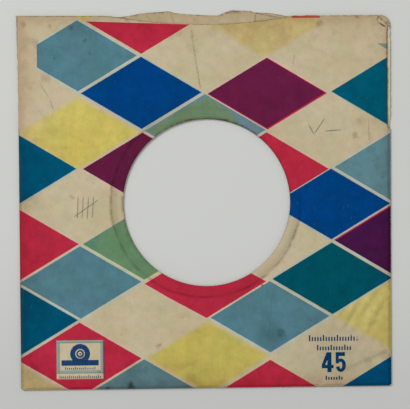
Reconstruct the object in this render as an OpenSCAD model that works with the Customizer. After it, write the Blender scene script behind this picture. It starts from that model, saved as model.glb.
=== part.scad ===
// Paper sleeve for a 7-inch record: one die-cut sheet, folded and glued, lying on its back.
// The origin is the middle of the centre hole on the face that the sleeve lies on.
// +X is to the right across the front, +Y goes up to the mouth, and +Z rises out of the front.
// Each part of the sheet between two folds, and each fold, is a solid of its own.

/* [Sleeve] */
// Width over the two side folds
sleeve_w = 184; // [170:0.5:200]
// Height from the bottom fold to the front's top edge
sleeve_h = 184.4; // [170:0.2:200]
// Thickness of the paper
paper = 0.15; // [0.1:0.01:0.3]
// Space inside the empty pocket, between the glue flaps and the front
pocket_gap = 1; // [0.3:0.1:3]

/* [Centre hole] */
// Diameter of the hole through front and back
hole_d = 82.8; // [70:0.1:100]
// How far the hole lies to the right of the sleeve's middle
hole_right = 0.4; // [-2:0.1:2]
// How far the hole lies below the sleeve's middle
hole_down = 0.1; // [-2:0.1:2]

/* [Mouth] */
// Width of the arc cut into the front's top edge
cut_w = 88; // [40:1:130]
// Depth of the arc cut
cut_depth = 4; // [1:0.5:15]
// Length over which both side folds have split, from the mouth down
split_len = 56; // [30:1:80]
// How far the split right edge of the front has drawn back from the outline
drawn_back = 1.3; // [0.5:0.1:3]
// How far the torn left edge stands out near the mouth
torn_out = 0.8; // [0.2:0.1:2]
// Length of that torn edge, from the mouth down
torn_len = 15; // [5:1:40]

/* [Back lip] */
// Width of the worn lip that shows above the arc cut
lip_w = 84; // [60:1:110]
// Height of the lip's highest point above the front's top edge
lip_h = 2.8; // [1:0.1:6]
// How far the rest of the back's top edge lies below the front's
back_low = 0.6; // [0.2:0.1:3]

/* [Creased corner] */
// Length of the corner's crease along the top edge and along the side
corner_leg = 6.2; // [4:0.1:12]
// Radius to which the corner has worn
corner_r = 4.5; // [1:0.1:6]

/* [Glue flaps] */
// Width of each flap
flap_w = 11; // [10:0.5:20]
// Length of the slant at each flap's lower end
flap_slant = 8; // [2:1:20]
// Clearance from the bottom fold to each flap's lower end
flap_clear = 2; // [0.5:0.1:5]
// Width of the glue line on each flap
glue_w = 5; // [2:0.5:6]
// Thickness of the dried glue
glue_t = 0.05; // [0.02:0.01:0.1]
// Clearance from the glue line to the flap's edges, and from its ends to the flap's ends
glue_inset = 1.5; // [0.5:0.1:3]

/* [Hidden] */
$fn = 96;

// The middle of the sleeve, measured from the middle of its hole
mid_x = -hole_right;
mid_y = hole_down;
top_y = mid_y + sleeve_h / 2;
bottom_y = mid_y - sleeve_h / 2;
split_y = top_y - split_len;

// Heights of the layers, from the face that the sleeve lies on
flap_z = paper + glue_t;
front_z = flap_z + paper + pocket_gap;
top_z = front_z + paper;

// A side fold goes round from a flap to the front, and the bottom fold from the back to the front
side_r = (top_z - flap_z) / 2;
bottom_r = top_z / 2;

// Where the flat part of each panel ends
flat_x = sleeve_w / 2 - side_r;
flat_low = bottom_y + bottom_r;

// The back lies inside the side folds with this clearance, so that each fold passes beside its edge
back_clear = paper;
back_x = flat_x - back_clear;
back_top = top_y - back_low;

// The arc of the cut passes through both ends of its width and its deepest point
cut_r = (pow(cut_w / 2, 2) + pow(cut_depth, 2)) / (2 * cut_depth);

// The lip's worn outline: [share of its width, share of its height], from left to right
worn_lip = [
    [0.06, 0], [0.12, 0.36], [0.19, 0.56], [0.25, 0.69], [0.29, 0.78], [0.33, 0.44],
    [0.41, 0.24], [0.51, 0.05], [0.58, 0], [0.6, 0.31], [0.63, 0.69], [0.66, 1],
    [0.71, 0.87], [0.77, 0.82], [0.79, 0.56], [0.86, 0.49], [0.9, 0.36], [0.95, 0.11]
];

paper_colour = [0.76, 0.71, 0.58];
worn_colour = [0.66, 0.58, 0.43];
glue_colour = [0.72, 0.56, 0.28];

// A flat piece of the sheet, from a height up by one thickness of paper
module sheet(z) {
    translate([0, 0, z]) linear_extrude(height = paper) children();
}

// The hole through both panels
module centre_hole() {
    translate([0, 0, -1]) cylinder(h = top_z + 2, d = hole_d);
}

// The front's outline above the splits, with its corner still square
module mouth_outline() {
    left = mid_x - sleeve_w / 2;
    right = mid_x + sleeve_w / 2 - drawn_back;
    polygon([
        [left, split_y],
        [right, split_y],
        [right, top_y],
        [left - torn_out, top_y],
        [left - torn_out, top_y - torn_len],
        [left, top_y - torn_len - torn_out]
    ]);
}

// The triangle outside the corner's crease
module corner_cut() {
    right = mid_x + sleeve_w / 2;
    polygon([[right - corner_leg, top_y], [right, top_y - corner_leg], [right, top_y]]);
}

// The sleeve's top right corner, worn round
module worn_corner() {
    right = mid_x + sleeve_w / 2;
    difference() {
        translate([right - corner_leg, top_y - corner_leg]) square(corner_leg);
        difference() {
            translate([right - corner_r, top_y - corner_r]) square(corner_r + 1);
            translate([right - corner_r, top_y - corner_r]) circle(r = corner_r);
        }
    }
}

// Half a tube of paper that runs along +Y from y = 0, bulging to +X, with its underside at z = 0
module fold_strip(outer_r, length) {
    translate([0, length, outer_r]) rotate([90, 0, 0]) linear_extrude(height = length) difference() {
        circle(r = outer_r);
        circle(r = outer_r - paper);
        translate([-2 * outer_r, -outer_r - 1]) square([2 * outer_r, 2 * outer_r + 2]);
    }
}

// The right-hand flap's outline, measured from the sleeve's middle line. It is wider above the
// split, where the torn half of the fold lies flat beside it
module flap_outline() {
    low = flat_low + flap_clear;
    inner = sleeve_w / 2 - flap_w;
    polygon([
        [flat_x, low],
        [flat_x, split_y],
        [sleeve_w / 2, split_y],
        [sleeve_w / 2, back_top],
        [inner, back_top],
        [inner, low + flap_slant]
    ]);
}

module right_fold_shape() {
    translate([mid_x + flat_x, flat_low, flap_z]) fold_strip(side_r, split_y - flat_low);
}

module right_flap_shape() {
    translate([mid_x, 0, 0]) sheet(flap_z) flap_outline();
}

module right_glue_shape() {
    low = flat_low + flap_clear + flap_slant + glue_inset;
    high = back_top - glue_inset;
    translate([mid_x + back_x - glue_inset - glue_w, low, paper]) cube([glue_w, high - low, glue_t]);
}

// The same shape on the other side of the sleeve's middle line
module other_side() {
    translate([2 * mid_x, 0, 0]) mirror([1, 0, 0]) children();
}

module front_panel() {
    color(paper_colour) difference() {
        sheet(front_z) translate([mid_x - flat_x, flat_low]) square([2 * flat_x, split_y - flat_low]);
        centre_hole();
    }
}

module mouth_flap() {
    color(paper_colour) difference() {
        sheet(front_z) difference() {
            mouth_outline();
            corner_cut();
        }
        centre_hole();
        translate([mid_x, top_y - cut_depth + cut_r, front_z - 1]) cylinder(h = paper + 2, r = cut_r, $fn = 360);
    }
}

module torn_corner() {
    color(worn_colour) sheet(front_z) intersection() {
        worn_corner();
        corner_cut();
    }
}

module back_panel() {
    color(worn_colour) difference() {
        sheet(0) polygon(concat(
            [
                [mid_x - back_x, flat_low],
                [mid_x - back_x, back_top],
                [mid_x - lip_w / 2, back_top]
            ],
            [for (point = worn_lip) [mid_x + lip_w * (point[0] - 0.5), top_y + lip_h * point[1]]],
            [
                [mid_x + lip_w / 2, back_top],
                [mid_x + back_x, back_top],
                [mid_x + back_x, flat_low]
            ]
        ));
        centre_hole();
    }
}

module bottom_fold() {
    color(worn_colour) translate([mid_x - back_x, flat_low, 0]) rotate(-90) fold_strip(bottom_r, 2 * back_x);
}

module left_side_fold() {
    color(worn_colour) other_side() right_fold_shape();
}

module right_side_fold() {
    color(worn_colour) right_fold_shape();
}

module left_glue_flap() {
    color(paper_colour) other_side() right_flap_shape();
}

module right_glue_flap() {
    color(paper_colour) right_flap_shape();
}

module left_glue_line() {
    color(glue_colour) other_side() right_glue_shape();
}

module right_glue_line() {
    color(glue_colour) right_glue_shape();
}

front_panel();
mouth_flap();
torn_corner();
back_panel();
bottom_fold();
left_side_fold();
right_side_fold();
left_glue_flap();
right_glue_flap();
left_glue_line();
right_glue_line();
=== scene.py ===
import math

import bmesh
import bpy
from mathutils import Matrix, Vector, noise
from mathutils.bvhtree import BVHTree


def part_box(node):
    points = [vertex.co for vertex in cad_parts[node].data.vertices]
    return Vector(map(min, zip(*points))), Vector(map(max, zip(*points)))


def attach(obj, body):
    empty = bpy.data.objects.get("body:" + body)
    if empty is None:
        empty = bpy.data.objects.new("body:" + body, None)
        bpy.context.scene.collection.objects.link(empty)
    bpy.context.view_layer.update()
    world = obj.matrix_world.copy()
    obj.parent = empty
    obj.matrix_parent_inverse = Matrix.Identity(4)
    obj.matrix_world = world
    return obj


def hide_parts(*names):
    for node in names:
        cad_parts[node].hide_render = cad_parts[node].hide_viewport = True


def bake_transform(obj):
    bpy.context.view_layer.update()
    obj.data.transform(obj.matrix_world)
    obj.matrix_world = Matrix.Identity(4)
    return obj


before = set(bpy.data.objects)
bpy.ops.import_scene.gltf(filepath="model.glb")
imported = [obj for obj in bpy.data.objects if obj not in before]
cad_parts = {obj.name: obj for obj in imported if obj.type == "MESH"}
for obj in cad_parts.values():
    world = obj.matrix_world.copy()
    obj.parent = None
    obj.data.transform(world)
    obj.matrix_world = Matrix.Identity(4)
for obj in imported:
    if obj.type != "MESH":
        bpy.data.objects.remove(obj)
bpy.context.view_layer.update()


# The printed front

# The front of the sleeve and its opening flap are one stretch of thin printed paper, die-cut
# with a round hole in the middle and a shallow arc at the mouth. It is folded in at the sides
# and the bottom, and its side folds have split down from the mouth.

# Sizes and places are in millimetres from the middle of the hole, and MM makes them metres
MM = 0.001
HALF_WIDTH = 92
HOLE_RADIUS = 41.4
AT_HOLE = HOLE_RADIUS + 0.6
PAPER_THICKNESS = 0.15
PRINTED, PLAIN, CUT_EDGE = 0, 1, 2


def box_in_mm(node):
    """The lowest and highest corners of a CAD node, in millimetres."""
    return tuple(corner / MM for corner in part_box(node))


panel_low, panel_high = box_in_mm("front_panel")
flap_low, flap_high = box_in_mm("mouth_flap")
corner_low, corner_high = box_in_mm("torn_corner")
SPLIT_Y = panel_high.y
TOP_Y = flap_high.y
FRONT_Z = panel_high.z
MIDDLE_X = (panel_low.x + panel_high.x) / 2


def cut_line(bm, point, across, faces=None):
    """Cuts a flat sheet, or only some of its faces, along a line through a point, in millimetres."""
    if faces is None:
        geometry = bm.verts[:] + bm.edges[:] + bm.faces[:]
    else:
        geometry = list(dict.fromkeys(part for face in faces for part in (*face.verts, *face.edges, face)))
    bmesh.ops.bisect_plane(
        bm, geom=geometry, dist=1e-8,
        plane_co=Vector((point[0], point[1], 0)) * MM, plane_no=Vector((across[0], across[1], 0)))


def die_cut(right, upper, left, lower):
    """A flat sheet with the centre hole, from its outline in millimetres above and below the hole."""
    bm = bmesh.new()
    hole = bmesh.ops.create_circle(bm, cap_ends=False, segments=160, radius=HOLE_RADIUS * MM)["verts"]
    hole.sort(key=lambda vert: (math.atan2(vert.co.y, vert.co.x) + 1e-4) % (2 * math.pi))
    half = len(hole) // 2
    right, left = (bm.verts.new((x * MM, 0, 0)) for x in (right, left))
    upper = [bm.verts.new((x * MM, y * MM, 0)) for x, y in upper]
    lower = [bm.verts.new((x * MM, y * MM, 0)) for x, y in lower]
    bm.faces.new([right, *upper, left, *reversed(hole[:half + 1])])
    bm.faces.new([left, *lower, right, hole[0], *reversed(hole[half:])])
    return bm


def rule(bm, step):
    """Cuts the sheet into small squares, so that it can bend, with the cuts clear of its corners."""
    off_corners = 0.37 * step
    for axis in (0, 1):
        low = min(vert.co[axis] for vert in bm.verts) / MM
        high = max(vert.co[axis] for vert in bm.verts) / MM
        across = (1, 0) if axis == 0 else (0, 1)
        for cut in range(1, math.ceil((high - low) / step)):
            where = low + cut * step - off_corners
            cut_line(bm, (where, where), across)


def smooth(value):
    """0 below 0, 1 above 1 and an easy curve between."""
    value = min(max(value, 0), 1)
    return value * value * (3 - 2 * value)


def rumple(x, y, size, seed=0.0):
    """Soft noise from -1 to 1 whose bumps are about this many millimetres apart."""
    return noise.noise(Vector((x / size, y / size, seed)))


# Creases and pencil strokes: start, end, half width, depth, darkening (dirt, and painted shade along the
# crumples) and pencil
front_lines = [
    # creases above the hole
    ((-7.4, 86.6), (-2.7, 55.9), 0.6, 0.10, 0.45, 0),
    ((44.1, 73.9), (42.9, 66.4), 0.5, 0.05, 0.35, 0),
    ((80.8, 41.5), (80.8, 29.5), 0.5, 0.04, 0.35, 0),
    ((-81.4, 58.6), (-77.0, 51.8), 0.5, 0.05, 0.40, 0),
    ((-77.0, 51.8), (-75.0, 45.3), 0.5, 0.05, 0.40, 0),
    # a crease below the hole
    ((32.7, -42.6), (30.2, -68.3), 0.7, 0.06, 0.15, 0),
    # the creases at the corner, and a darker line down the left edge
    ((86.1, 92.2), (84.8, 89.2), 0.6, 0.10, 1.20, 0),
    ((84.8, 89.2), (90.0, 86.2), 0.6, 0.10, 1.20, 0),
    ((-91.7, 25.0), (-91.7, -91.3), 1.0, 0, 0.40, 0),
    ((88.9, 89.4), (90.2, 87.1), 0.6, 0.04, 0.80, 0),
    # the crumpled lower right: the darkening along these lines is painted shade in the crumples' valleys
    ((67.0, -84.2), (90.5, -74.4), 1.6, 0.12, 0.22, 0),
    ((62.0, -60.0), (74.0, -48.5), 1.0, 0.08, 0.10, 0),
    ((68.5, -62.5), (74.5, -51.5), 1.6, 0.10, 0.20, 0),
    ((73.6, -59.9), (85.5, -43.0), 1.8, 0.12, 0.15, 0),
    ((80.1, -63.2), (89.7, -47.0), 1.8, 0.12, 0.15, 0),
    # a tally in pencil
    ((-63.4, 3.6), (-64.0, -7.6), 0.36, 0, 0, 0.95),
    ((-60.9, 3.9), (-61.6, -7.9), 0.36, 0, 0, 0.85),
    ((-58.3, 3.2), (-59.2, -8.2), 0.36, 0, 0, 0.95),
    ((-55.8, 3.8), (-56.7, -7.7), 0.36, 0, 0, 0.85),
    ((-65.6, -6.6), (-53.4, 1.8), 0.36, 0, 0, 0.95),
    # a tick and a dash in pencil
    ((50.6, 38.6), (53.4, 33.4), 0.4, 0, 0, 1.0),
    ((53.4, 33.4), (58.8, 41.4), 0.4, 0, 0, 1.0),
    ((58.6, 35.0), (67.4, 35.6), 0.4, 0, 0, 1.0),
]
LINE_TAPER, LINE_TIP = 1.5, 0.3


def nearness(line, x, y):
    """1 on a line, falling to 0 at its half width and towards its two ends."""
    start, end, half_width = Vector(line[0]), Vector(line[1]), line[2]
    run = end - start
    there = Vector((x, y)) - start
    along = there.dot(run) / run.length
    across = abs(there.cross(run)) / run.length
    if across >= half_width or along <= 0 or along >= run.length:
        return 0.0
    from_end = min(along, run.length - along)
    return (1 - across / half_width) * min(1, (from_end + LINE_TIP) / LINE_TAPER)


def score(bm, lines, step):
    """Gives the sheet points along each line and beside it."""
    for start, end, half_width, *_ in lines:
        start, end = Vector(start), Vector(end)
        run = (end - start).normalized()
        across = Vector((-run.y, run.x))
        middle, reach = (start + end) / 2, (end - start).length / 2
        cuts = [
            (middle + across * offset, across, half_width + step) for offset in (0, -half_width, half_width)]
        cuts += [(point, run, half_width) for point in (start, end)]
        for point, normal, width in cuts:
            near = []
            for face in bm.faces:
                there = face.calc_center_median().xy / MM - middle
                if abs(there.dot(run)) < reach + step and abs(there.dot(across)) < width:
                    near.append(face)
            cut_line(bm, point, normal, near)


# How far the front can sink into the pocket, over what width a fold holds it up, where its mouth
# starts to wave and its rim to cockle, and the middle and radius of its crumpled patch
DEEPEST = 0.9
HELD_WIDTH = 18
WAVY_FROM = 66
COCKLED_RADIUS = 52
CRUMPLE_MIDDLE, CRUMPLE_RADIUS = (80, -58), 24


def front_height(x, y):
    """Height of the front's printed face, in millimetres: it sags over the empty pocket."""
    # the folds hold it up at the sides and at the bottom, but no longer above the splits
    free = max(0, y - SPLIT_Y)
    from_side = min(x - panel_low.x, panel_high.x - x) + free
    hold = smooth(min(from_side, y - panel_low.y) / HELD_WIDTH)
    sag = 0.28 + 0.32 * rumple(x, y, 46, 3.1) + 0.09 * rumple(x, y, 13, 8.4)
    mouth = smooth((y - WAVY_FROM) / 30) * (0.10 + 0.12 * math.sin(x / 11.5 + 0.6))
    radius = math.hypot(x, y)
    turn = math.atan2(y, x)
    cockle = smooth((COCKLED_RADIUS - radius) / 10) * (0.05 + 0.05 * math.sin(5 * turn + 1.1))
    # the crumpled patch has ridges that rise to the right
    from_crumple = math.hypot(x - CRUMPLE_MIDDLE[0], y - CRUMPLE_MIDDLE[1])
    crumple = smooth(1.15 - from_crumple / CRUMPLE_RADIUS) * smooth((panel_high.x - x) / 3)
    wave = x * 0.84 - y * 0.54 + 1.6 * rumple(x, y, 11, 5.5)
    crumple *= 0.30 + 0.30 * math.sin(wave * 1.25)
    crease = sum(line[3] * nearness(line, x, y) for line in front_lines if line[3])
    sunk = max(0, hold * (sag + mouth) + cockle + crumple + crease)
    return FRONT_Z - DEEPEST * math.tanh(sunk / DEEPEST)


WORN_WIDTH = 2


def ragged(bm, edge, inward, depth, size, seed):
    """Wears an edge away: edge gives a point's distance from it, or None where the edge is whole."""
    for vert in bm.verts:
        x, y = vert.co.x / MM, vert.co.y / MM
        away = edge(x, y)
        if away is not None and away < WORN_WIDTH:
            away = max(0, away)
            along = x if inward[0] == 0 else y
            bite = abs(rumple(along, 0, size, seed)) + 0.5 * abs(rumple(along, 0, size / 4, seed))
            vert.co += Vector((*inward, 0)) * depth * bite * (1 - away / WORN_WIDTH) * MM


# The print: lozenges in columns and rows from the middle, each pressed a little off its place.
# An entry names each ink with its shift to the right and up and its gap to the lozenge's edge, in
# millimetres. Its options say which way it fades out and over how many millimetres, how far it
# leans, into which lozenges beside it the ink is spilt, and which other ink it turns into.
LOZENGE_WIDTH, LOZENGE_HEIGHT = 2 * 31.17, 2 * 18.64
LATTICE_MIDDLE = Vector((-0.27, -1.92))
LATTICE_TURN = Matrix.Rotation(math.radians(0.198), 2)
# From a lozenge's edge to its middle, square to the edge
EDGE_TO_MIDDLE = 16.0
# The light that each ink lets through, and how soft its edge is in millimetres
inks = {
    "yellow": ((1.09, 1.05, 0.40), 1.5),
    "worn_yellow": ((1.05, 1.02, 0.55), 1.5),
    "green_yellow": ((1.0, 1.0, 0.45), 1.2),
    "leaf_yellow": ((1.22, 1.08, 0.48), 1.2),
    "dark_yellow": ((0.82, 0.92, 0.48), 1.2),
    "dull_yellow": ((0.95, 0.88, 0.59), 2.5),
    "dusty_yellow": ((1.01, 1.0, 0.50), 1.6),
    "olive_yellow": ((0.975, 0.955, 0.365), 2.0),
    "thin_yellow": ((0.925, 0.895, 0.66), 2.0),
    "red": ((0.86, 0.050, 0.175), 0.12),
    "faint_blue": ((0.42, 0.64, 0.84), 0.3),
    "pale_blue": ((0.16, 0.44, 0.83), 0.15),
    "grey_blue": ((0.185, 0.425, 0.75), 0.15),
    "worn_blue": ((0.22, 0.52, 0.92), 0.15),
    "thin_blue": ((0.27, 0.49, 0.93), 0.15),
    "mid_blue": ((0.205, 0.505, 0.93), 0.15),
    "plum_blue": ((0.253, 0.50, 0.89), 0.12),
    "narrow_blue": ((0.288, 0.53, 1.05), 0.12),
    "strong_blue": ((0.128, 0.36, 1.05), 0.12),
    "deep_blue": ((0.0, 0.109, 0.69), 0.12),
    "sea_blue": ((0.0, 0.165, 0.495), 0.12),
    "corner_blue": ((0.0, 0.165, 0.63), 0.12),
    "teal": ((0.0, 0.182, 0.57), 0.12),
    "bright_teal": ((0.0, 0.21, 0.545), 0.12),
    "green_teal": ((0.0, 0.169, 0.37), 0.12),
}
lozenges = {
    (-2, 6): [("yellow", 2.6, -2.45, 0.3, {"spills": [(1, -1)]})],
    (-1, 5): [("red", -0.16, 0.13, 0.69)],
    (1, 5): [("dull_yellow", -1.6, -3.1, 0, {"fades": ((-1, 0), 2), "spills": [(-1, -1), (1, -1)]})],
    (3, 5): [("faint_blue", -0.6, 0, 0.7)],
    (-2, 4): [("pale_blue", -0.32, 0.24, 0.93)],
    (-1, 3): [("deep_blue", -0.34, 0.46, 0.655)],
    (1, 3): [("red", -0.42, -0.36, 0.675), ("narrow_blue", -0.74, -0.12, 1.055)],
    (3, 3): [("bright_teal", -1.09, 0.45, 0.62, {"spills": [(-1, 1)]})],
    (-2, 2): [("yellow", -0.96, -0.31, -0.24,
               {"fades": ((-1, 1), 1.5), "turns": ("worn_yellow", (-1, 0.2), -0.1)})],
    (0, 2): [("thin_blue", -0.14, 0.38, 0.55),
             ("green_yellow", 0.73, 0.44, 0.35, {"fades": ((1, 1), 2.0), "leans": 0.20})],
    (-3, 1): [("teal", 0.02, 0.65, 0.69)],
    (-1, 1): [("red", 0.08, 0.5, 0.74), ("plum_blue", -0.02, 0.45, 0.80)],
    (1, 1): [("red", -0.93, -0.63, 0.135)],
    (3, 1): [("worn_blue", 0, 0.21, 0.69)],
    (2, 0): [("deep_blue", -0.26, 0.54, 0.84)],
    (-3, -1): [("red", 0.68, 0.73, 0.67, {"spills": [(1, 1)]})],
    (-1, -1): [("mid_blue", 0.16, 0.80, 0.40),
               ("leaf_yellow", 0.39, 0.52, -0.35, {"turns": ("dark_yellow", (-1, 0.2), 0.5)})],
    (3, -1): [("strong_blue", -0.47, 1.26, 0.67), ("red", -0.47, 1.29, 0.66, {"spills": [(-1, 1)]})],
    (-2, -2): [("pale_blue", -0.18, 0.43, 0.52)],
    (0, -2): [("red", -1.14, -0.66, 0.65, {"leans": -0.02, "spills": [(-1, -1)]})],
    (2, -2): [("green_teal", 0.03, 0.91, 0.54, {"turns": ("teal", (1, 0), 0.6), "spills": [(-1, 1)]})],
    (-3, -3): [("sea_blue", -0.12, 0.44, 0.71)],
    (1, -3): [("pale_blue", 0, 0.73, 0.69)],
    (3, -3): [("dusty_yellow", -0.83, 0.55, -0.4, {"fades": ((-1, -1), 1.0), "spills": [(-1, -1), (-1, 1)]})],
    (-2, -4): [("red", -0.95, -0.35, 0.3, {"spills": [(-1, -1)]})],
    (0, -4): [("olive_yellow", 0.22, -0.31, -0.43, {"spills": [(-1, 1), (1, -1), (-1, -1)]})],
    (-3, -5): [("thin_yellow", 0.4, 0, 1.2)],
    (-1, -5): [("grey_blue", -0.35, 0.1, 0.7)],
    (1, -5): [("red", -0.12, -1.2, 0.66)],
    (3, -5): [("corner_blue", -0.52, 0.70, 0.71)],
}
# What is pressed in each lozenge: its own inks and those spilt into it, with the way to their own
pressings = {}
for lozenge, own_inks in lozenges.items():
    for ink in own_inks:
        options = ink[4] if len(ink) > 4 else {}
        for across, up in [(0, 0), *options.get("spills", [])]:
            pressings.setdefault((lozenge[0] + across, lozenge[1] + up), []).append(
                ((-across, -up), *ink[:4], options))
# Where a plate stops short of the sheet's edge: the lozenge, a point on the limit and the way out
plate_limits = {
    (-1, 5): ((-57, 89.5), (0.032, 1)),
    (-2, 4): ((-83.1, 0), (-1, 0)),
    (3, 5): ((0, 78.4), (0, 1)),
}
# Below its lowest row the pattern starts again, so many rows higher up
LOWEST_ROW, ROWS_OF_REPEAT = -5, 10
# A lean starts where right less up, in half lozenges, is this far below zero
LEAN_START = 0.2
# What a plate leaves where it presses nothing: a place outside every lozenge, and clear ink
OUTSIDE, CLEAR = (9, 9), (1, 1, 1, 1)


def lozenge_at(x, y):
    """The column and row of the lozenge that holds a point of the print."""
    there = LATTICE_TURN.inverted() @ (Vector((x, y)) - LATTICE_MIDDLE)
    across, up = there.x / (LOZENGE_WIDTH / 2), there.y / (LOZENGE_HEIGHT / 2)
    rising, falling = 2 * round((across + up) / 2), 2 * round((across - up) / 2)
    return (rising + falling) // 2, (rising - falling) // 2, across, up


def cut_lozenges(bm, to_print):
    """Cuts a flat sheet along the lozenges' edges, and where a plate stops short."""
    origin = to_print(0, 0)
    axes = [to_print(1, 0) - origin, to_print(0, 1) - origin]
    places = [to_print(*(vert.co.xy / MM)) for vert in bm.verts]
    for slant in (1, -1):
        across = LATTICE_TURN @ Vector((2 / LOZENGE_WIDTH, slant * 2 / LOZENGE_HEIGHT))
        counts = [(place - LATTICE_MIDDLE).dot(across) for place in places]
        line = 2 * math.floor(min(counts) / 2) + 1
        while line < max(counts):
            on_line = LATTICE_MIDDLE + across * (line / across.length_squared) - origin
            cut_line(
                bm, (on_line.dot(axes[0]), on_line.dot(axes[1])),
                (across.dot(axes[0]), across.dot(axes[1])))
            line += 2
    for lozenge, (point, way_out) in plate_limits.items():
        inside = [
            face for face in bm.faces
            if lozenge_at(*to_print(*(face.calc_center_median().xy / MM)))[:2] == lozenge]
        if inside:
            cut_line(bm, point, way_out, inside)


def ink_at(name, spot, options):
    """An ink's colour and softness at a place in its lozenge, and the place with the edge's lean."""
    colour, softness = inks[name]
    if "fades" in options:
        way, reach = options["fades"]
        softness += reach * smooth(spot.dot(Vector(way)))
    if "turns" in options:
        other, way, start = options["turns"]
        share = smooth((spot.dot(Vector(way)) - start) / (1 - start))
        colour = Vector(colour).lerp(Vector(inks[other][0]), share)
    if "leans" in options:
        spot = spot + Vector((1, 1)) * options["leans"] * max(0, spot.x - spot.y + LEAN_START)
    return (*colour, softness), spot


def print_sheet(bm, to_print):
    """Prints the lozenges on a flat sheet. to_print turns a place on the sheet into one on the print."""
    cut_lozenges(bm, to_print)
    wear = bm.loops.layers.uv.new("wear")
    plates = [
        (bm.loops.layers.uv.new(name + "_print"), bm.loops.layers.float_color.new(name + "_ink"))
        for name in ("first", "second")]
    for face in bm.faces:
        place = to_print(*(face.calc_center_median().xy / MM))
        column, row, _, _ = lozenge_at(*place)
        point, way_out = plate_limits.get((column, row), ((0, 0), (0, 0)))
        pressed = pressings.get((column, row + ROWS_OF_REPEAT if row < LOWEST_ROW else row), [])
        if (place - Vector(point)).dot(Vector(way_out)) > 0:
            pressed = [ink for ink in pressed if ink[0] != (0, 0)]
        for loop in face.loops:
            loop[wear].uv = loop.vert.co.xy / MM
            _, _, across, up = lozenge_at(*to_print(*(loop.vert.co.xy / MM)))
            for number, (place_layer, ink_layer) in enumerate(plates):
                if number >= len(pressed):
                    loop[place_layer].uv = OUTSIDE
                    loop[ink_layer] = CLEAR
                    continue
                home, name, shift_right, shift_up, gap, options = pressed[number]
                size = 1 - gap / EDGE_TO_MIDDLE
                spot = Vector((
                    (across - column - home[0] - 2 * shift_right / LOZENGE_WIDTH) / size,
                    (up - row - home[1] - 2 * shift_up / LOZENGE_HEIGHT) / size))
                loop[ink_layer], loop[place_layer].uv = ink_at(name, spot, options)


def face_up(bm):
    bm.normal_update()
    bmesh.ops.reverse_faces(bm, faces=[face for face in bm.faces if face.normal.z < 0])


def thicken(bm, thickness=PAPER_THICKNESS):
    """Gives a flat sheet its thickness below its upper face, and marks its lower and cut sides."""
    plain = set(bm.faces)
    under = bm.verts[:]
    printed = {part for part in bmesh.ops.extrude_face_region(bm, geom=bm.faces[:])["geom"]
               if isinstance(part, bmesh.types.BMFace)}
    bmesh.ops.translate(bm, verts=under, vec=(0, 0, -thickness * MM))
    for face in bm.faces:
        face.material_index = PLAIN if face in plain else PRINTED if face in printed else CUT_EDGE


def make_piece(bm, name, materials):
    """Turns a finished bmesh into an object with these materials."""
    mesh = bpy.data.meshes.new(name)
    bm.to_mesh(mesh)
    bm.free()
    for polygon in mesh.polygons:
        polygon.use_smooth = True
    for material in materials:
        mesh.materials.append(material)
    piece = bpy.data.objects.new(name, mesh)
    bpy.context.scene.collection.objects.link(piece)
    return piece


def add_node(tree, kind, *values, into=None, out=0, **settings):
    """Adds a shader node. The values fill its sockets in order: numbers, colours or other nodes' outputs."""
    made = tree.nodes.new("ShaderNode" + kind)
    for name, value in settings.items():
        setattr(made, name, value)
    sockets = [made.inputs[number] for number in into] if into else made.inputs
    for socket, value in zip(sockets, values):
        if isinstance(value, bpy.types.NodeSocket):
            tree.links.new(value, socket)
        elif value is not None:
            socket.default_value = value
    return made.outputs[out]


def calc(tree, operation, *values, clamp=False):
    return add_node(tree, "Math", *values, operation=operation, use_clamp=clamp)


def ramp(tree, value, low, high, start=0.0, end=1.0):
    """start below low, end above high, and an easy curve between."""
    return add_node(tree, "MapRange", value, low, high, start, end, interpolation_type="SMOOTHSTEP")


def mix(tree, share, first, second):
    return add_node(tree, "Mix", share, first, second, into=(0, 6, 7), out=2, data_type="RGBA")


def speckle(tree, place, scale, detail=2.0, roughness=0.5, stretch=None, seed=0.0):
    """Noise from 0 to 1 over the paper; scale is in bumps for each millimetre."""
    if stretch or seed:
        place = add_node(tree, "Mapping", place, (seed, seed, seed), None, stretch or (1, 1, 1))
    return add_node(tree, "TexNoise", place, None, scale, detail, roughness)


def tone_paper(tree, place, clouds, patches, fibres):
    """The paper's own cream, in broad clouds, smaller patches and fibres."""
    colour = mix(tree, ramp(tree, clouds, 0.35, 0.65), (0.503, 0.432, 0.274, 1), (0.533, 0.462, 0.313, 1))
    tint = ramp(tree, speckle(tree, place, 0.10, 4, 0.55, seed=57), 0.36, 0.64)
    tint = mix(tree, tint, (0.965, 1.0, 0.965, 1), (1.025, 0.985, 0.985, 1))
    colour = add_node(tree, "VectorMath", colour, tint, operation="MULTIPLY")
    shade = calc(tree, "MULTIPLY_ADD", patches, 0.34, 0.83)
    shade = calc(tree, "MULTIPLY", shade, calc(tree, "MULTIPLY_ADD", fibres, 0.14, 0.93))
    return add_node(tree, "VectorMath", colour, shade, operation="SCALE", into=(0, 3))


# The left edge is the browner one, because the browning's middle lies this far to the right
BROWNING_RIGHT = 0.8
FOLD_BELOW_HOLE = 92.1


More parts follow.
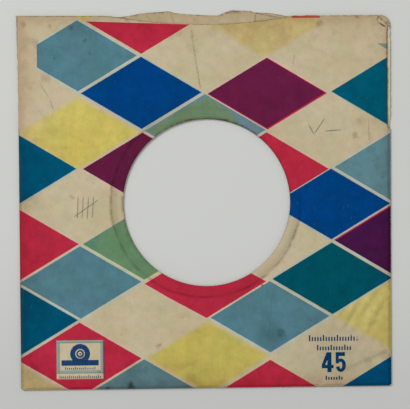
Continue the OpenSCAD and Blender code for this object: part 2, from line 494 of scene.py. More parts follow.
def brown_edges(tree, colour, place, across, up, clouds, patches):
    """Browns the paper at its edges, worst at the very edge and in patches."""
    from_middle = calc(tree, "SUBTRACT", across, MIDDLE_X + BROWNING_RIGHT)
    from_side = calc(tree, "SUBTRACT", HALF_WIDTH, calc(tree, "ABSOLUTE", from_middle))
    from_top = calc(tree, "SUBTRACT", TOP_Y, up)
    from_bottom = calc(tree, "ADD", up, FOLD_BELOW_HOLE)
    edge = calc(tree, "MINIMUM", from_side, calc(tree, "MINIMUM", from_top, from_bottom))
    cloudy_edge = calc(tree, "ADD", edge, calc(tree, "MULTIPLY_ADD", clouds, 24.0, -12.0))
    tanned = ramp(tree, cloudy_edge, 0.0, 16.0, 0.45, 0.0)
    colour = mix(tree, tanned, colour, (0.455, 0.345, 0.215, 1))
    edge = calc(tree, "ADD", edge, calc(tree, "MULTIPLY_ADD", patches, 7.0, -3.5))
    browned = ramp(tree, edge, 0.0, 6.0, 0.45, 0.0)
    colour = mix(tree, browned, colour, (0.360, 0.250, 0.140, 1))
    blotches = ramp(tree, speckle(tree, place, 0.17, 4, 0.6, seed=91), 0.50, 0.66, 0.0, 0.42)
    blotches = calc(tree, "MULTIPLY", blotches, ramp(tree, edge, 4.0, 22.0, 1.0, 0.15))
    return mix(tree, blotches, colour, (0.380, 0.280, 0.170, 1))


def rub_round_hole(tree, place, across, up, patches):
    """A dirty band, line and rim round the hole, where a label rubbed, worst at the left and lower right."""
    flat_place = add_node(tree, "VectorMath", place, (1, 1, 0), (0.6, 0, 0), operation="MULTIPLY_ADD")
    radius = add_node(tree, "VectorMath", flat_place, operation="LENGTH", out=1)
    waver = calc(tree, "MULTIPLY_ADD", speckle(tree, place, 0.1, 2, seed=5), 1.6, -0.8)
    radius = calc(tree, "ADD", radius, waver)
    at_left = ramp(tree, across, -40.0, -15.0, 1.0, 0.0)
    at_lower_right = ramp(tree, calc(tree, "SUBTRACT", across, up), 30.0, 58.0)
    worst = calc(tree, "MAXIMUM", at_left, at_lower_right)
    worst = calc(tree, "MULTIPLY_ADD", worst, 0.85, 0.15)
    line = calc(tree, "MULTIPLY", ramp(tree, radius, 45.8, 46.9), ramp(tree, radius, 47.0, 48.3, 1.0, 0.0))
    line = calc(tree, "MULTIPLY", line, ramp(tree, patches, 0.40, 0.60, 0.12, 0.50))
    at_bottom = ramp(tree, up, -40.0, -30.0, 1.0, 0.0)
    line = calc(tree, "MULTIPLY", line, calc(tree, "MAXIMUM", worst, at_bottom))
    band_end = ramp(tree, radius, 46.6, 47.4, 1.0, 0.0)
    band = calc(tree, "MULTIPLY", ramp(tree, radius, 42.0, 46.5, 0.05, 0.36), band_end)
    band = calc(tree, "MULTIPLY", band, ramp(tree, patches, 0.25, 0.75, 0.55, 1.0))
    band = calc(tree, "MULTIPLY", band, worst)
    rim_patches = ramp(tree, patches, 0.35, 0.60, 0.35, 1.0)
    rim = calc(tree, "MULTIPLY", ramp(tree, radius, 41.3, 43.2, 0.75, 0.0), rim_patches)
    at_upper_right = ramp(tree, calc(tree, "ADD", across, up), 10.0, 40.0, 0.2, 0.9)
    return band, line, calc(tree, "MULTIPLY", rim, at_upper_right)


# Brown spots and stains: where they are, how far they reach and how dark they are
brown_spots = [
    # along the top and down the left
    (-89.4, 88.0, 2.4, 0.30), (-83.5, 78.5, 3.0, 0.28), (-76.6, 87.1, 1.6, 0.40), (-66.2, 86.6, 2.0, 0.45),
    (-59.7, 80.2, 1.4, 0.50), (-38.3, 90.4, 2.2, 0.40), (56.5, 88.6, 2.4, 0.35), (75.4, 91.4, 1.6, 0.50),
    (-74.6, 71.8, 1.2, 0.40), (-78.6, 62.2, 4.0, 0.28), (-66.7, 3.3, 2.0, 0.35), (-87.0, 3.0, 8.0, 0.18),
    # at the corner and below it
    (90.6, 88.4, 0.8, 1.00), (76.4, 40.2, 3.0, 0.22), (73.9, 32.8, 2.6, 0.45),
    # along the bottom
    (-84.0, -84.0, 9.0, 0.25), (-49.8, -91.6, 1.5, 1.00), (-38.2, -90.6, 3.2, 0.95), (-38, -80, 9.0, 0.22),
    (-24.4, -70.7, 2.2, 0.50), (-4.0, -89.0, 15.0, 0.20), (27.3, -41.1, 1.3, 1.00), (32.5, -67.0, 11.0, 0.40),
    (36.0, -65.4, 5.2, 0.62), (64.0, -76.0, 32.0, 0.24), (72.0, -82.5, 5.0, 0.24), (80.0, -79.3, 5.5, 0.30),
    (87.0, -76.4, 4.5, 0.28),
]


def stain(tree, place, fibres):
    """Brown spots with wandering edges, broken up by the fibres."""
    wander = add_node(tree, "TexNoise", place, None, 0.55, 4, out=1)
    wander = add_node(tree, "VectorMath", wander, (0.5, 0.5, 0.5), operation="SUBTRACT")
    wander = add_node(tree, "VectorMath", wander, 5.0, operation="SCALE", into=(0, 3))
    loose_place = add_node(tree, "VectorMath", place, wander, operation="ADD")
    loose_place = add_node(tree, "VectorMath", loose_place, (1, 1, 0), operation="MULTIPLY")
    spotted = 0.0
    for x, y, size, strength in brown_spots:
        away = add_node(tree, "VectorMath", loose_place, (x, y, 0), operation="DISTANCE", out=1)
        spotted = calc(tree, "MAXIMUM", ramp(tree, away, 0.0, size, strength, 0.0), spotted)
    return calc(tree, "MULTIPLY", spotted, ramp(tree, fibres, 0.30, 0.60, 0.75, 1.0))


def make_aged_paper():
    """The old cream paper at a place in millimetres: its colour, stains and the ring that a label rubbed."""
    tree = bpy.data.node_groups.new("aged_paper", "ShaderNodeTree")
    tree.interface.new_socket("Place", in_out="INPUT", socket_type="NodeSocketVector")
    tree.interface.new_socket("Spotted", in_out="INPUT", socket_type="NodeSocketFloat")
    tree.interface.new_socket("Colour", in_out="OUTPUT", socket_type="NodeSocketColor")
    for name in ("Stained", "Rubbed", "Ring"):
        tree.interface.new_socket(name, in_out="OUTPUT", socket_type="NodeSocketFloat")
    given = tree.nodes.new("NodeGroupInput")
    place = given.outputs["Place"]
    result = tree.nodes.new("NodeGroupOutput")
    split = tree.nodes.new("ShaderNodeSeparateXYZ")
    tree.links.new(place, split.inputs[0])
    across, up = split.outputs[0], split.outputs[1]

    clouds = speckle(tree, place, 0.035, 3)
    patches = speckle(tree, place, 0.22, 5, 0.6, seed=17)
    fibres = speckle(tree, place, 1.1, 5, 0.7, seed=31)
    colour = tone_paper(tree, place, clouds, patches, fibres)
    colour = brown_edges(tree, colour, place, across, up, clouds, patches)
    band, line, rim = rub_round_hole(tree, place, across, up, patches)
    spotted = calc(tree, "MULTIPLY", stain(tree, place, fibres), given.outputs["Spotted"])
    foxing = ramp(tree, speckle(tree, place, 0.3, 3, 0.55, seed=71), 0.66, 0.78, 0.0, 0.26)
    flecks = ramp(tree, speckle(tree, place, 1.4, 1, 0.5, seed=83), 0.72, 0.80, 0.0, 0.22)
    dirt = calc(tree, "MAXIMUM", calc(tree, "MAXIMUM", spotted, foxing), calc(tree, "MAXIMUM", rim, flecks))
    for name, value in (("Colour", colour), ("Stained", dirt), ("Rubbed", band), ("Ring", line)):
        tree.links.new(value, result.inputs[name])
    return tree


aged_paper = make_aged_paper()


def print_lozenges(tree, place, colour):
    """The paper's colour under both plates' inks, and how far ink covers it."""
    ink_cover = 0.0
    wobble = calc(tree, "MULTIPLY_ADD", speckle(tree, place, 0.9, 3, 0.6), 0.36, -0.18)
    rub = ramp(tree, speckle(tree, place, 0.8, 6, 0.75, stretch=(1, 0.3, 1), seed=13), 0.62, 0.80, 0.0, 0.20)
    for plate in ("first", "second"):
        spot = add_node(tree, "UVMap", uv_map=plate + "_print")
        spot = add_node(tree, "VectorMath", spot, operation="ABSOLUTE")
        spot = add_node(tree, "VectorMath", spot, (1, 1, 0), operation="DOT_PRODUCT", out=1)
        ink = tree.nodes.new("ShaderNodeAttribute")
        ink.attribute_name = plate + "_ink"
        inside = calc(tree, "MULTIPLY", calc(tree, "SUBTRACT", 1.0, spot), EDGE_TO_MIDDLE)
        inside = calc(tree, "ADD", inside, wobble)
        cover = calc(tree, "DIVIDE", inside, ink.outputs["Alpha"], clamp=True)
        ink_cover = calc(tree, "MAXIMUM", cover, ink_cover)
        beside = (1, 1, 1, 1)
        if plate == "first":
            # oil from a crisp ink has crept a little into the bare paper beside it
            crept = calc(tree, "SUBTRACT", ramp(tree, inside, -1.5, -0.2), cover, clamp=True)
            crept = calc(tree, "MULTIPLY", crept, ramp(tree, ink.outputs["Alpha"], 0.3, 0.6, 1.0, 0.0))
            tint = add_node(
                tree, "VectorMath", ink.outputs["Color"], (0.38, 0.28, 0.40), (0.79, 0.96, 1.09),
                operation="MULTIPLY_ADD")
            beside = mix(tree, crept, beside, tint)
        cover = calc(tree, "MULTIPLY", cover, calc(tree, "SUBTRACT", 1.0, rub))
        through = mix(tree, cover, beside, ink.outputs["Color"])
        colour = add_node(tree, "VectorMath", colour, through, operation="MULTIPLY")
    # the ink lies unevenly, in streaks and clouds
    streaks = speckle(tree, place, 0.8, 5, 0.65, stretch=(1, 0.2, 1), seed=61)
    cloudy = speckle(tree, place, 0.12, 4, 0.6, seed=67)
    uneven = calc(tree, "MULTIPLY_ADD", streaks, 0.16, -0.305)
    uneven = calc(tree, "MULTIPLY_ADD", cloudy, 0.45, uneven)
    uneven = calc(tree, "MULTIPLY_ADD", uneven, ink_cover, 1.0)
    return add_node(tree, "VectorMath", colour, uneven, operation="SCALE", into=(0, 3)), ink_cover


def marked(tree, attribute, colour, broken, mark):
    """Lays a dark mark on the colour wherever the mesh carries it, broken up like the paper's grain."""
    carried = tree.nodes.new("ShaderNodeAttribute")
    carried.attribute_name = attribute
    return mix(tree, calc(tree, "MULTIPLY", carried.outputs["Fac"], broken), colour, mark)


def paper_material(name, inked=False, spotted=1.0, darken=1.0, seed=0.0, flat_ink=None):
    """Old paper, with its fibres as bumps. inked adds the printed lozenges; flat_ink is one ink all over."""
    material = bpy.data.materials.new(name)
    material.use_nodes = True
    tree = material.node_tree
    shader = tree.nodes["Principled BSDF"]
    place = add_node(tree, "UVMap", uv_map="wear")
    moved = add_node(tree, "VectorMath", place, (0, 0, seed), operation="ADD")
    paper = tree.nodes.new("ShaderNodeGroup")
    paper.node_tree = aged_paper
    tree.links.new(moved, paper.inputs["Place"])
    paper.inputs["Spotted"].default_value = spotted
    colour = paper.outputs["Colour"]
    fine = speckle(tree, moved, 2.2, 4, 0.7)
    ink_cover = 0.0
    if inked:
        colour, ink_cover = print_lozenges(tree, moved, colour)
    # old stains darken ink and bare paper alike, but a rubbed band shows less on ink
    for dirt, less_on_ink in (("Stained", 0.0), ("Rubbed", -0.6), ("Ring", -0.2)):
        holding = calc(tree, "MULTIPLY_ADD", ink_cover, less_on_ink, 1.0)
        share = calc(tree, "MULTIPLY", holding, paper.outputs[dirt])
        dirty = add_node(tree, "VectorMath", colour, (0.27, 0.21, 0.17), operation="MULTIPLY")
        colour = mix(tree, share, colour, dirty)
    # a flat ink is worn through here and there
    if flat_ink:
        worn = ramp(tree, speckle(tree, moved, 1.1, 5, 0.7, seed=13), 0.56, 0.75, 1.0, 0.8)
        through = mix(tree, worn, (1, 1, 1, 1), (*flat_ink, 1))
        colour = add_node(tree, "VectorMath", colour, through, operation="MULTIPLY")
    broken = ramp(tree, speckle(tree, moved, 0.8, 3, 0.6, seed=23), 0.30, 0.62, 0.25, 1.0)
    # this attribute darkens with real dirt, and with painted shade in the crumpled patch and painted shadow
    # along the front's edges above the splits
    colour = marked(tree, "grime_and_painted_shade", colour, broken, (0.050, 0.034, 0.020, 1))
    grainy = ramp(tree, fine, 0.35, 0.6, 0.50, 1.0)
    colour = marked(tree, "pencil", colour, grainy, (0.045, 0.043, 0.042, 1))
    colour = add_node(tree, "VectorMath", colour, darken, operation="SCALE", into=(0, 3))
    tree.links.new(colour, shader.inputs["Base Color"])
    rough = calc(tree, "MULTIPLY_ADD", fine, 0.16, 0.70)
    tree.links.new(rough, shader.inputs["Roughness"])
    shader.inputs["Specular IOR Level"].default_value = 0.02
    height = calc(tree, "ADD", fine, speckle(tree, moved, 0.5, 3, 0.6, seed=3))
    bump = add_node(tree, "Bump", 0.5, 0.00004, into=(0, 1))
    tree.links.new(height, bump.node.inputs["Height"])
    tree.links.new(bump, shader.inputs["Normal"])
    return material


printed_paper = paper_material("printed_paper", inked=True)
# plain paper is painted lighter than the printed paper, a painted brightening against the shade in the narrow
# trough where the right flap's torn strip shows
plain_paper = paper_material("plain_paper", spotted=0.0, darken=1.15, seed=40)
paper_edge = paper_material("cut_paper_edge", spotted=0.0, darken=0.55, seed=80)
sheet_sides = [printed_paper, plain_paper, paper_edge]

FRONT_STEP = 1.5
TORN_LENGTH = 28
BELOW_CORNER = 86
left_edge = MIDDLE_X - HALF_WIDTH
# the sides step out where the folds have split, and the torn left one stands out up to the mouth
front = die_cut(
    panel_high.x,
    [(panel_high.x, SPLIT_Y - 0.8), (flap_high.x, SPLIT_Y + 0.4), (flap_high.x, corner_low.y + 1.3),
     (corner_low.x, TOP_Y), (flap_low.x, TOP_Y), (left_edge - 0.2, TOP_Y - TORN_LENGTH),
     (left_edge, SPLIT_Y + 0.4), (panel_low.x, SPLIT_Y - 0.8)],
    panel_low.x,
    [(panel_low.x, panel_low.y), (panel_high.x, panel_low.y)])
rule(front, FRONT_STEP)
score(front, front_lines, FRONT_STEP)
# one more line of points just inside each free edge keeps its dark line of dirt and painted shadow narrow
edge_lines = [((0, TOP_Y - 0.6), (0, 1)), ((left_edge + 0.6, 0), (1, 0)), ((flap_high.x - 0.7, 0), (1, 0))]
for point, across in edge_lines:
    above_split = [face for face in front.faces if face.calc_center_median().y / MM > SPLIT_Y]
    cut_line(front, point, across, above_split)
ragged(front, lambda x, y: TOP_Y - y if -HALF_WIDTH < x < corner_low.x - 1 else None, (0, -1), 0.3, 5, 1.5)
ragged(front, lambda x, y: x - left_edge if SPLIT_Y + 1 < y < TOP_Y - 1 else None, (1, 0), 0.5, 4, 2.5)
ragged(front, lambda x, y: flap_high.x - x if SPLIT_Y + 1 < y < BELOW_CORNER else None, (-1, 0), 0.5, 4, 3.5)
# the shallow arc at the mouth
CUT_MIDDLE, CUT_HALF_WIDTH, CUT_DEPTH, CUT_REACH = -2.0, 45.5, 4.25, 20.0
for vert in front.verts:
    across = (vert.co.x / MM - CUT_MIDDLE) / CUT_HALF_WIDTH
    near_top = 1 - (TOP_Y - vert.co.y / MM) / CUT_REACH
    if abs(across) < 1 and near_top > 0:
        vert.co.y -= CUT_DEPTH * (1 - across ** 2) * near_top * MM
# a sliver where the red plate printed once more, at the mouth's right end
SLIVER_LEFT, SLIVER_RIGHT, SLIVER_LOW = 42.7, 56.6, 91.0
NEAR_LEFT, NEAR_RIGHT, NEAR_LOW = 41, 59, 89
SLIVER_INK = (0.88, 0.24, 0.30, 0.12)
for point, across in (
        ((SLIVER_LEFT, 0), (1, 0)), ((SLIVER_RIGHT, 0), (1, 0)), ((0, SLIVER_LOW), (0, 1))):
    near_sliver = []
    for face in front.faces:
        middle = face.calc_center_median() / MM
        if NEAR_LEFT < middle.x < NEAR_RIGHT and middle.y > NEAR_LOW:
            near_sliver.append(face)
    cut_line(front, point, across, near_sliver)
print_sheet(front, lambda x, y: Vector((x, y)))
second_print = front.loops.layers.uv["second_print"]
second_ink = front.loops.layers.float_color["second_ink"]
for face in front.faces:
    middle = face.calc_center_median() / MM
    if SLIVER_LEFT < middle.x < SLIVER_RIGHT and middle.y > SLIVER_LOW:
        for loop in face.loops:
            loop[second_print].uv = (0, 0)
            loop[second_ink] = SLIVER_INK


def dirt_and_shade_lines(bm, lines, edge_dirt_and_shade):
    """Marks a sheet's lines with darkening and pencil, and its cut edges with darkening: dirt, and painted
    shade where the front's lines and edges ask for it.
    """
    grime_and_painted_shade = bm.verts.layers.float.new("grime_and_painted_shade")
    pencil = bm.verts.layers.float.new("pencil")
    for vert in bm.verts:
        x, y = vert.co.x / MM, vert.co.y / MM
        for line in lines:
            near = nearness(line, x, y)
            vert[grime_and_painted_shade] = max(vert[grime_and_painted_shade], line[4] * near)
            vert[pencil] = max(vert[pencil], line[5] * near)
        if vert.is_boundary:
            vert[grime_and_painted_shade] = max(vert[grime_and_painted_shade], edge_dirt_and_shade(x, y))


# the front's free edges above the splits carry a dark line that is dirt and also painted shadow where each
# edge stands over the paper beneath; the hole's rim carries a little dirt
dirt_and_shade_lines(
    front, front_lines, lambda x, y: 0.9 if y > SPLIT_Y else 0.1 if math.hypot(x, y) < AT_HOLE else 0.0)
thicken(front)
for vert in front.verts:
    vert.co.z += front_height(vert.co.x / MM, vert.co.y / MM) * MM
front_surface = BVHTree.FromBMesh(front)
front_sheet = make_piece(front, "front_sheet", sheet_sides)
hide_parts("front_panel", "mouth_flap")
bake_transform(front_sheet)


# The side folds and the bottom fold

# The sheet goes round in three narrow folds: at each side into a glue flap, and along the bottom
# into the back. The print runs on round them, and they are rubbed brown along their outermost line.
SIDE_RADIUS, BOTTOM_RADIUS = 0.65, 0.75
FOLD_STEP = 2


def make_fold(name, node, axis, start, way, radius, ends, dirt):
    """A fold that leaves the front at start along an axis, and goes round through half a turn.

    It runs between its two ends along the other axis. dirt says how brown its outermost line is.
    """
    flat_length = math.pi * radius
    bm = bmesh.new()
    bmesh.ops.create_grid(bm, x_segments=12, y_segments=round((ends[1] - ends[0]) / FOLD_STEP), size=0.5)
    for vert in bm.verts:
        round_it, along = vert.co.x + 0.5, vert.co.y + 0.5
        place = [0, 0]
        place[axis] = start + way * flat_length * round_it
        place[1 - axis] = ends[0] + (ends[1] - ends[0]) * along
        vert.co = Vector((*place, 0)) * MM
    face_up(bm)
    print_sheet(bm, lambda x, y: Vector((x, y)))
    grime_and_painted_shade = bm.verts.layers.float.new("grime_and_painted_shade")
    bm.verts.layers.float.new("pencil")
    for vert in bm.verts:
        round_it = (vert.co[axis] / MM - start) * way / flat_length
        along = vert.co[1 - axis] / MM
        wear = 0.35 + 0.5 * abs(rumple(along, start, 5, 2.2)) + 0.4 * abs(rumple(along, start, 1.6, 6.2))
        vert[grime_and_painted_shade] = dirt * wear * smooth(1 - abs(round_it - 0.5) / 0.55)
    thicken(bm)
    for vert in bm.verts:
        angle = (vert.co[axis] / MM - start) * way / radius
        along = vert.co[1 - axis] / MM
        outer = radius + vert.co.z / MM
        pinch = 1 - 0.10 * abs(rumple(along, start, 8, 4.4))
        vert.co[axis] = (start + way * outer * pinch * math.sin(angle)) * MM
        vert.co.z = (FRONT_Z - radius + outer * math.cos(angle)) * MM
    fold = make_piece(bm, name, sheet_sides)
    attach(fold, "sleeve")
    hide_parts(node)


back_low, back_high = box_in_mm("back_panel")
side_ends, bottom_ends = (panel_low.y, SPLIT_Y), (back_low.x, back_high.x)
make_fold("right_fold_strip", "right_side_fold", 0, panel_high.x, 1, SIDE_RADIUS, side_ends, 0.05)
make_fold("left_fold_strip", "left_side_fold", 0, panel_low.x, -1, SIDE_RADIUS, side_ends, 2.2)
make_fold("bottom_fold_strip", "bottom_fold", 1, panel_low.y, -1, BOTTOM_RADIUS, bottom_ends, 0.7)


# The glue flaps

# A narrow flap is turned in behind the front at each side and glued to the back. Above the split
# the torn half of the fold still lies beside it, with a ragged edge; the right one shows from above.
FLAP_STEP = 2
FLAP_SLANT = 8
WORN_RADIUS = 4.5
glue_flap_low, glue_flap_high = box_in_mm("right_glue_flap")
flap_inner, flap_outer = glue_flap_low.x - MIDDLE_X, panel_high.x - MIDDLE_X


def worn_round(right, top, turns):
    """Points round a worn top right corner, in millimetres."""
    return [
        (right - WORN_RADIUS + WORN_RADIUS * math.cos(math.radians(turn)),
         top - WORN_RADIUS + WORN_RADIUS * math.sin(math.radians(turn))) for turn in turns]


# one flap's outline, measured from the sleeve's middle line
flap_outline = [
    (flap_outer, glue_flap_low.y), (flap_outer, SPLIT_Y), (HALF_WIDTH, SPLIT_Y),
    *worn_round(HALF_WIDTH, glue_flap_high.y, (0, 25, 47, 69, 90)),
    (flap_inner, glue_flap_high.y), (flap_inner, glue_flap_low.y + FLAP_SLANT)]
for side, name, node in (
        (1, "right_flap_sheet", "right_glue_flap"), (-1, "left_flap_sheet", "left_glue_flap")):
    flap = bmesh.new()
    flap.faces.new([
        flap.verts.new(((MIDDLE_X + side * x) * MM, y * MM, 0)) for x, y in flap_outline][::side])
    rule(flap, FLAP_STEP)
    # lines of points along the torn strip, so that it can curl
    for x in (90.9, 91.3, 91.7):
        cut_line(flap, (MIDDLE_X + side * x, 0), (1, 0))
    ragged(
        flap, lambda x, y: HALF_WIDTH - side * (x - MIDDLE_X) if SPLIT_Y + 1 < y < 91 else None,
        (-side, 0), 0.5, 4, side)
    flap.normal_update()
    flap_wear = flap.loops.layers.uv.new("wear")
    for face in flap.faces:
        for loop in face.loops:
            loop[flap_wear].uv = loop.vert.co.xy / MM * 0.75
    dirt_and_shade_lines(flap, [], lambda x, y: 0.2 if y > SPLIT_Y else 0.0)
    thicken(flap)
    flap_top = box_in_mm(node)[1].z
    for vert in flap.verts:
        x, y = side * (vert.co.x / MM - MIDDLE_X), vert.co.y / MM
        curl = 0.9 * smooth((x - 90.9) / 1.1) * smooth((y - SPLIT_Y - 2) / 6) * smooth((91.9 - y) / 4)
        vert.co.z += (flap_top + curl) * MM
    flap_sheet = make_piece(flap, name, [plain_paper, plain_paper, paper_edge])
    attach(flap_sheet, "sleeve")
    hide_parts(node)


# The glue

# A thin line of glue holds each flap to the inside of the back. It was brushed on wet before the
# flap was turned in, and it has dried hard, brown and uneven.
dried_glue = bpy.data.materials.new("dried_glue")
dried_glue.use_nodes = True
glue_tree = dried_glue.node_tree
glue_place = add_node(glue_tree, "TexCoord", out=3)
glue_place = add_node(glue_tree, "VectorMath", glue_place, 1 / MM, operation="SCALE", into=(0, 3))
glue_clouds = speckle(glue_tree, glue_place, 0.5, 4)
glue_colour = mix(
    glue_tree, ramp(glue_tree, glue_clouds, 0.35, 0.65), (0.47, 0.27, 0.075, 1), (0.30, 0.15, 0.035, 1))
glue_shader = glue_tree.nodes["Principled BSDF"]
glue_tree.links.new(glue_colour, glue_shader.inputs["Base Color"])
glue_tree.links.new(calc(glue_tree, "MULTIPLY_ADD", glue_clouds, 0.3, 0.25), glue_shader.inputs["Roughness"])
for node in ("left_glue_line", "right_glue_line"):
    for material_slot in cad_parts[node].material_slots:
        material_slot.material = dried_glue


# The printed back

# The back is the lower half of the same sheet, folded under. Its plain inner side faces up: it shows
# in the pocket, and as a worn and wavy lip above the arc cut. Its print faces down.
BACK_STEP = 3.0
# The print has run on down the front's lower half and round the fold before it reaches the back
BACK_TO_PRINT = 2 * panel_low.y - math.pi * BOTTOM_RADIUS
LIP_WIDTH, LIP_HEIGHT = 84, 2.8
# The lip's worn outline, in shares of its width and height
worn_lip = [
    (0, -0.214), (0.06, 0), (0.12, 0.36), (0.19, 0.56), (0.25, 0.69), (0.29, 0.78), (0.33, 0.44),
    (0.41, 0.24), (0.51, 0.05), (0.58, 0), (0.6, 0.31), (0.63, 0.64), (0.66, 0.92),
    (0.71, 0.87), (0.77, 0.82), (0.79, 0.56), (0.86, 0.49), (0.9, 0.36), (0.95, 0.11), (1, -0.214)]
# The back is made with its print up, so that its lip points down the page, and then turned over
lip_lines = [
    ((21.5, -94.2), (36.5, -91.3), 0.5, 0, 0.7, 0), ((25.0, -94.6), (24.2, -88.0), 0.5, 0, 0.5, 0),
    ((-17.5, -94.2), (-15.5, -88.5), 0.5, 0, 0.4, 0), ((-30.0, -93.2), (-26.0, -89.0), 0.4, 0, 0.35, 0)]
back_top = TOP_Y - 0.6
# beside the lip the back stops a little below the front's edge, and its right corner is worn off
back = die_cut(
    back_high.x,
    [(back_high.x, -back_low.y), (back_low.x, -back_low.y)],
    back_low.x,
    [(back_low.x, -back_top)]
    + [(MIDDLE_X + LIP_WIDTH * (share - 0.5), -TOP_Y - LIP_HEIGHT * height) for share, height in worn_lip]
    + [(back_high.x - 1.9, -back_top), (back_high.x - 0.65, 0.85 - back_top), (back_high.x, 1.8 - back_top)])
rule(back, BACK_STEP)
cut_line(back, (0, -TOP_Y + 0.4), (0, 1))
score(back, lip_lines, BACK_STEP)
print_sheet(back, lambda x, y: Vector((x, y + BACK_TO_PRINT)))
back_wear = back.loops.layers.uv["wear"]
for face in back.faces:
    for loop in face.loops:
        loop[back_wear].uv.y *= -1
dirt_and_shade_lines(back, lip_lines, lambda x, y: 0.8 if y < -91 else 0.4 if math.hypot(x, y) < AT_HOLE else 0.0)
thicken(back)
bmesh.ops.rotate(back, verts=back.verts[:], cent=(0, 0, 0), matrix=Matrix.Rotation(math.pi, 3, "X"))
LIP_WAVE = 0.35
for vert in back.verts:
    x, y = vert.co.x / MM, vert.co.y / MM
    vert.co.z += LIP_WAVE * smooth((y - 87) / 7) * (0.5 + 0.5 * math.sin(x / 6.5)) * MM
back_inside = paper_material("back_inside", spotted=0.0, darken=1.04, seed=120)
printed_back = paper_material("printed_back", inked=True, spotted=0.0, darken=0.96, seed=160)
back_sheet = make_piece(back, "back_sheet", [printed_back, back_inside, paper_edge])
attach(back_sheet, "sleeve")
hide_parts("back_panel")


# The creased corner

# The front's top right corner has been folded over and back so often that it hangs on a crease.
# It is worn round, dirty and curls down a little.
CORNER_STEP = 0.8
corner_lines = [((85.4, 92.3), (91.6, 86.1), 0.7, 0, 0.35, 0), ((90.9, 88.4), (89.2, 89.3), 0.7, 0, 0.9, 0)]
corner = bmesh.new()
corner.faces.new([corner.verts.new((x * MM, y * MM, 0)) for x, y in (
    (corner_high.x, corner_low.y),
    *worn_round(corner_high.x, corner_high.y, range(0, 91, 10)),
    (corner_low.x, corner_high.y))])
rule(corner, CORNER_STEP)
print_sheet(corner, lambda x, y: Vector((x, y)))
dirt_and_shade_lines(corner, corner_lines, lambda x, y: 0.45)
thicken(corner)
for vert in corner.verts:
    x, y = vert.co.x / MM, vert.co.y / MM
    from_crease = (x + y - corner_low.x - corner_high.y) / math.sqrt(2)
    vert.co.z += (front_height(x, y) - 0.04 * max(0, from_crease) ** 2) * MM
creased_corner = make_piece(corner, "creased_corner", sheet_sides)
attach(creased_corner, "corner")
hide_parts("torn_corner")


# The number printed on the front

# A film of deep blue ink in the lower right of the front: the plain number of turns a minute, with
# rows of short upright strokes above and below it.
FILM_THICKNESS, FILM_STEP = 0.08, 1.2
FILM_RISE, LAYER_RISE = 0.03, 0.02


def press(film, shape, colour=0, layer=0):
    """Lays a flat printed shape on the front and adds it to a film of ink. Later layers lie higher."""
    face_up(shape)
    rule(shape, FILM_STEP)
    thicken(shape, FILM_THICKNESS)
    for vert in shape.verts:
        hit = front_surface.ray_cast(Vector((vert.co.x, vert.co.y, 0.01)), Vector((0, 0, -1)))[0]
        vert.co.z += hit.z + (FILM_RISE + LAYER_RISE * layer) * MM
    for face in shape.faces:
        face.material_index = colour
    flat = bpy.data.meshes.new("shape")
    shape.to_mesh(flat)
    shape.free()
    film.from_mesh(flat)
    bpy.data.meshes.remove(flat)


def box_shape(left, low, right, high):
    """A flat rectangle, in millimetres."""
    bm = bmesh.new()
    bmesh.ops.create_grid(bm, x_segments=1, y_segments=1, size=0.5 * MM)
    bmesh.ops.scale(bm, verts=bm.verts[:], vec=(right - left, high - low, 1))
    bmesh.ops.translate(bm, verts=bm.verts[:], vec=((left + right) / 2 * MM, (low + high) / 2 * MM, 0))
    return bm


def press_strokes(film, left, low, right, high, pitch, width, colour=0, layer=0):
    """A row of short upright strokes, every fifth one taller."""
    count = round((right - left) / pitch)
    for number in range(count + 1):
        middle = left + (right - left) * number / count
        top = high if number % 5 == 0 else low + 0.68 * (high - low)
        press(film, box_shape(middle - width / 2, low, middle + width / 2, top), colour, layer)


def finish_film(film, name, materials):
    """Turns a film of ink into a piece that rides on the sleeve."""
    wear = film.loops.layers.uv.new("wear")
    for face in film.faces:
        for loop in face.loops:
            loop[wear].uv = loop.vert.co.xy / MM
    piece = make_piece(film, name, materials)
    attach(piece, "sleeve")


def plain_shape(points):
    """A flat shape from its outline, in millimetres."""
    bm = bmesh.new()
    bm.faces.new([bm.verts.new((x * MM, y * MM, 0)) for x, y in points])
    return bm


number_film = bmesh.new()
# the digits' lower left corner, from which their parts are measured: left, low, right and high
LEFT, LOW = 56.7, -84.9
four_bars = [(2.8, 0, 4.85, 9.9), (0, 1.95, 2.8, 3.6), (4.85, 1.95, 5.9, 3.6)]
four_slope = [(0, 3.6), (1.7, 3.6), (2.8, 6.1), (2.8, 9.9), (2.45, 9.9)]
five_bars = [(6.96, 7.95, 11.6, 9.9), (6.96, 4.3, 8.5, 7.95)]
for left, low, right, high in four_bars + five_bars:
    press(number_film, box_shape(LEFT + left, LOW + low, LEFT + right, LOW + high))
press(number_film, plain_shape([(LEFT + x, LOW + y) for x, y in four_slope]))
# the bowl of the five, spun from its lower left end, then stretched to its inner and outer half sizes
BOWL_X, BOWL_Y = 9.51, 3.37
BOWL_START, BOWL_SWEEP = math.radians(-165), math.radians(298)
BOWL_INNER, BOWL_OUTER = (0.72, 1.75), (2.55, 3.37)
bowl = bmesh.new()
ends = [
    bowl.verts.new((reach * math.cos(BOWL_START), reach * math.sin(BOWL_START), 0)) for reach in (0.5, 1)]
bmesh.ops.spin(
    bowl, geom=[*ends, bowl.edges.new(ends)], cent=(0, 0, 0), axis=(0, 0, 1), angle=BOWL_SWEEP, steps=28)
for vert in bowl.verts:
    half_width, half_height = BOWL_OUTER if vert.co.length > 0.75 else BOWL_INNER
    way = vert.co.normalized()
    vert.co = Vector((LEFT + BOWL_X + half_width * way.x, LOW + BOWL_Y + half_height * way.y, 0)) * MM
press(number_film, bowl)
STROKE_PITCH, STROKE_WIDTH = 1.35, 0.68
for row in ((50.7, -69.4, 74.3, -66.4), (54.7, -74.0, 71.0, -71.3), (58.9, -88.7, 66.7, -86.7)):
    press_strokes(number_film, *row, STROKE_PITCH, STROKE_WIDTH)
finish_film(number_film, "number_print", [paper_material("number_ink", flat_ink=(0.0, 0.10, 0.42))])


# The panel printed on the front

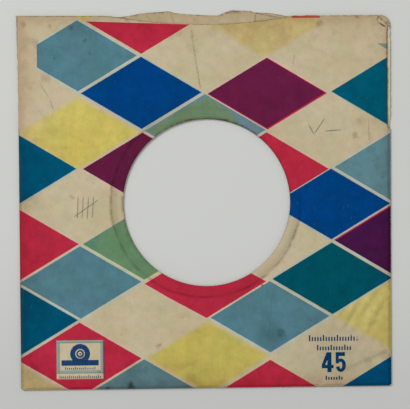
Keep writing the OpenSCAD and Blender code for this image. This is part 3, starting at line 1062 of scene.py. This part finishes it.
# A small panel left bare in the red lozenge at the lower left, with a pale frame and band. A plain
# blue disc on a bar and two rows of short strokes are printed on it, in thin films of ink.
BARE, PALE, DEEP = 0, 1, 2
PANEL_LEFT, PANEL_LOW, PANEL_RIGHT, PANEL_TOP = -74.8, -86.8, -51.7, -67.6
FRAME_LOW, BAND_TOP = -84.0, -82.4
FRAME_TOP, FRAME_LEFT, FRAME_RIGHT = -69.0, -73.3, -53.2
panel_film = bmesh.new()
press(panel_film, box_shape(PANEL_LEFT, PANEL_LOW, PANEL_RIGHT, PANEL_TOP), BARE)
pale_boxes = [
    (PANEL_LEFT, FRAME_TOP, PANEL_RIGHT, PANEL_TOP), (PANEL_LEFT, FRAME_LOW, FRAME_LEFT, FRAME_TOP),
    (FRAME_RIGHT, FRAME_LOW, PANEL_RIGHT, FRAME_TOP), (FRAME_LEFT, FRAME_LOW, FRAME_RIGHT, BAND_TOP)]
for box in pale_boxes:
    press(panel_film, box_shape(*box), PALE, 1)
DISC_MIDDLE = (-63.2, -74.3)
disc_rings = [(4.9, DEEP), (2.4, BARE), (1.9, DEEP), (1.1, BARE), (0.4, DEEP)]
for layer, (radius, colour) in enumerate(disc_rings, 1):
    disc = bmesh.new()
    bmesh.ops.create_circle(disc, cap_ends=True, segments=40, radius=radius * MM)
    bmesh.ops.translate(disc, verts=disc.verts[:], vec=(DISC_MIDDLE[0] * MM, DISC_MIDDLE[1] * MM, 0))
    press(panel_film, disc, colour, layer)
press(panel_film, box_shape(-72.4, -80.1, -54.1, -77.4), DEEP, 1)
SMALL_PITCH, SMALL_WIDTH = 0.95, 0.4
for row in ((-70.4, -82.1, -56.0, -80.8), (-73.2, -86.3, -53.3, -84.9)):
    press_strokes(panel_film, *row, SMALL_PITCH, SMALL_WIDTH, DEEP, 1)
# the blue plate overran the panel's right side by a hair
press(panel_film, box_shape(PANEL_RIGHT, -87.0, -51.3, -68.0), DEEP, 0)
finish_film(panel_film, "panel_print", [
    paper_material("bare_panel", spotted=0.0, darken=1.02, seed=9),
    paper_material("pale_panel_ink", flat_ink=(0.50, 0.72, 1.0), spotted=0.0, seed=9),
    paper_material("deep_panel_ink", flat_ink=(0.02, 0.11, 0.48), spotted=0.0, seed=9)])


# The floor, the light and the camera

# A pale seamless board under the sleeve, one large soft lamp from the upper left and an even
# sky, and a camera that looks down from sixty centimetres, a degree or two off the upright.
HALF_FLOOR = 1.5
floor_mesh = bmesh.new()
bmesh.ops.create_grid(floor_mesh, x_segments=8, y_segments=8, size=HALF_FLOOR)
floor = make_piece(floor_mesh, "floor", [])
floor_material = bpy.data.materials.new("pale_board")
floor_material.use_nodes = True
floor_tree = floor_material.node_tree
where = add_node(floor_tree, "TexCoord", out=3)
# the board's colour is painted shade: darker towards the bottom and a little to the left, where the light
# falls off
slope = add_node(floor_tree, "VectorMath", where, (-1, -10, 0), operation="DOT_PRODUCT", out=1)
board_colour_with_painted_shade = mix(
    floor_tree, ramp(floor_tree, slope, 0.1, 1.2), (0.606, 0.614, 0.590, 1), (0.540, 0.544, 0.526, 1))
floor_shader = floor_tree.nodes["Principled BSDF"]
floor_tree.links.new(board_colour_with_painted_shade, floor_shader.inputs["Base Color"])
floor_shader.inputs["Roughness"].default_value = 0.9
floor_shader.inputs["Specular IOR Level"].default_value = 0.1
floor.data.materials.append(floor_material)

world = bpy.data.worlds.new("studio")
bpy.context.scene.world = world
world.use_nodes = True
sky = world.node_tree.nodes["Background"]
sky.inputs["Color"].default_value = (1, 1, 1, 1)
sky.inputs["Strength"].default_value = 0.55

lamp = bpy.data.lights.new("soft_lamp", "AREA")
lamp.shape = "DISK"
lamp.size = 0.9
lamp.energy = 22
lamp_holder = bpy.data.objects.new("soft_lamp", lamp)
lamp_holder.location = (-0.95, 0.85, 1.5)
lamp_holder.rotation_euler = (-lamp_holder.location).to_track_quat("-Z", "Y").to_euler()
bpy.context.scene.collection.objects.link(lamp_holder)

# the camera's place and tilt put the sleeve in the frame as it lies in the photo
camera = bpy.data.cameras.new("camera")
camera.sensor_width = 36
camera.sensor_fit = "HORIZONTAL"
camera.lens = 106.5
camera_holder = bpy.data.objects.new("camera", camera)
camera_holder.location = (-0.02253, 0.01147, 0.60096)
camera_holder.rotation_euler = (math.radians(-1.171), math.radians(-2.072), math.radians(-0.399))
bpy.context.scene.collection.objects.link(camera_holder)
bpy.context.scene.camera = camera_holder
bpy.context.scene.view_settings.view_transform = "Standard"
